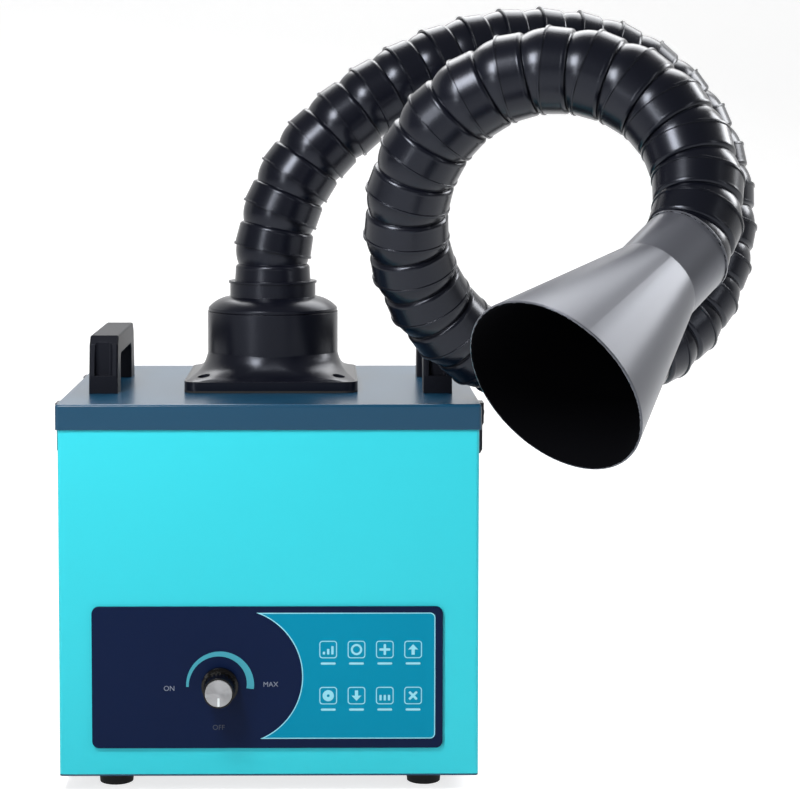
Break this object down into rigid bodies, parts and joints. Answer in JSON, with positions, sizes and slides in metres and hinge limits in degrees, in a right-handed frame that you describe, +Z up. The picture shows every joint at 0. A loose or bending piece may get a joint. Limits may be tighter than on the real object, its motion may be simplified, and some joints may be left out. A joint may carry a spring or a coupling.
{
  "type": "welding fume extractor",
  "caption": "Bench-top welding fume extractor: sheet-metal filter case with lift-off lid, speed knob, and a bendable ball-and-socket suction arm with a horn.",
  "frame": {"origin": "on the floor, under the middle of the case's footprint", "axes": "+X to the right as seen from the control panel, -Y towards the control panel, +Z up"},
  "size_m": [0.5273, 0.5506, 0.5657],
  "materials": {
    "case_paint": "satin powder coat",
    "lid_paint": "gloss powder coat",
    "black_plastic": "satin",
    "arm_plastic": "satin gloss",
    "horn_plastic": "satin gloss",
    "panel_film": "printed film",
    "knob_plastic": "satin",
    "knob_metal": "turned",
    "rubber": "matte",
    "steel": "zinc plated",
    "zinc_sheet": "zinc plated",
    "carbon": "granular",
    "filter_frame": "mill finish",
    "filter_paper": "matte",
    "filter_card": "card",
    "filter_mat": "fibrous",
    "blower_plastic": "satin",
    "motor_shell": "cast",
    "circuit_board": "solder mask",
    "board_plastic": "satin",
    "brass": "plain",
    "lead_sleeve": "satin"
  },
  "bodies": {
    "case": {"bottom_pan": "lid_paint", "case_wrap": "case_paint", "back_panel": "case_paint", "case_screws": "steel", "feet": "rubber", "foot_screws": "steel", "foot_nuts": "steel", "control_panel": "panel_film", "potentiometer": "black_plastic", "pot_nut": "steel", "speed_board": "circuit_board", "board_standoffs": "brass", "board_parts": "board_plastic", "partition_plate": "zinc_sheet", "partition_ledges": "zinc_sheet", "filter_seal": "rubber", "carbon_frame": "zinc_sheet", "carbon_core": "carbon", "fine_frame": "filter_frame", "fine_pleats": "filter_paper", "coarse_frame": "filter_card", "coarse_mat": "filter_mat", "blower_scroll": "blower_plastic", "fan_motor": "motor_shell", "motor_screws": "steel", "exhaust_grille": "black_plastic", "inlet_socket": "black_plastic", "inlet_screws": "steel", "inlet_pins": "brass", "mains_lead": "lead_sleeve", "motor_lead": "lead_sleeve"},
    "fan": {"impeller": "black_plastic", "fan_shaft": "steel"},
    "knob": {"knob_body": "knob_plastic", "knob_cap": "knob_metal", "knob_shaft": "steel"},
    "fuse_drawer": {"fuse_drawer": "black_plastic"},
    "lid": {"lid_shell": "lid_paint", "lid_gasket": "rubber", "lid_clips": "black_plastic", "clip_rivets": "steel", "handle_left": "black_plastic", "handle_right": "black_plastic", "handle_screws": "steel", "flange_gasket": "rubber", "arm_flange": "black_plastic", "flange_screws": "steel"},
    "turret": {"swivel_dome": "black_plastic", "swivel_ring": "black_plastic"},
    "arm_1": {"arm_length_1": "arm_plastic"},
    "arm_2": {"arm_length_2": "arm_plastic"},
    "arm_3": {"arm_length_3": "arm_plastic"},
    "arm_4": {"arm_length_4": "arm_plastic"},
    "arm_5": {"arm_length_5": "arm_plastic"},
    "arm_6": {"arm_length_6": "arm_plastic"},
    "horn": {"suction_horn": "horn_plastic"}
  },
  "joints": [
    {"name": "impeller_spin", "type": "hinge", "parent": "case", "child": "fan", "pos_m": [0, 0.012, 0.12], "axis": [0, 0, 1], "continuous": true},
    {"name": "knob_turn", "type": "hinge", "parent": "case", "child": "knob", "pos_m": [-0.0344, -0.135, 0.0777], "axis": [0, 1, 0], "range_deg": [0, 270]},
    {"name": "fuse_drawer_pull", "type": "slide", "parent": "case", "child": "fuse_drawer", "axis": [0, 1, 0], "range_m": [0, 0.014]},
    {"name": "lid_lift", "type": "slide", "parent": "case", "child": "lid", "axis": [0, 0, 1], "range_m": [0, 0.15]},
    {"name": "arm_swivel", "type": "hinge", "parent": "lid", "child": "turret", "pos_m": [0, 0, 0.34], "axis": [0, 0, 1], "range_deg": [-4, 14]},
    {"name": "arm_base_bend", "type": "hinge", "parent": "turret", "child": "arm_1", "pos_m": [0, 0, 0.379], "axis": [-0.0437, 0.999, 0], "range_deg": [-30, 0]},
    {"name": "arm_shoulder_bend", "type": "hinge", "parent": "arm_1", "child": "arm_2", "pos_m": [0.14863, 0.0185, 0.5281], "axis": [-0.1329, 0.9632, -0.2336], "range_deg": [-27, 0]},
    {"name": "arm_side_bend", "type": "hinge", "parent": "arm_2", "child": "arm_3", "pos_m": [0.33521, 0.0292, 0.45235], "axis": [-0.1763, 0.9558, -0.2354], "range_deg": [0, 7]},
    {"name": "arm_heel_bend", "type": "hinge", "parent": "arm_3", "child": "arm_4", "pos_m": [0.24864, -0.05231, 0.29507], "axis": [-0.4435, 0.8169, -0.3687], "range_deg": [0, 11]},
    {"name": "arm_front_bend", "type": "hinge", "parent": "arm_4", "child": "arm_5", "pos_m": [0.09609, -0.14512, 0.39656], "axis": [-0.1868, 0.9097, 0.3709], "range_deg": [-33, 6]},
    {"name": "arm_top_bend", "type": "hinge", "parent": "arm_5", "child": "arm_6", "pos_m": [0.23856, -0.21288, 0.49718], "axis": [0.2442, 0.9386, -0.2436], "range_deg": [-35, 4]},
    {"name": "horn_tilt", "type": "hinge", "parent": "arm_6", "child": "horn", "pos_m": [0.26588, -0.27829, 0.39205], "axis": [-0.4412, 0.7924, -0.4213], "range_deg": [-30, 0]}
  ]
}
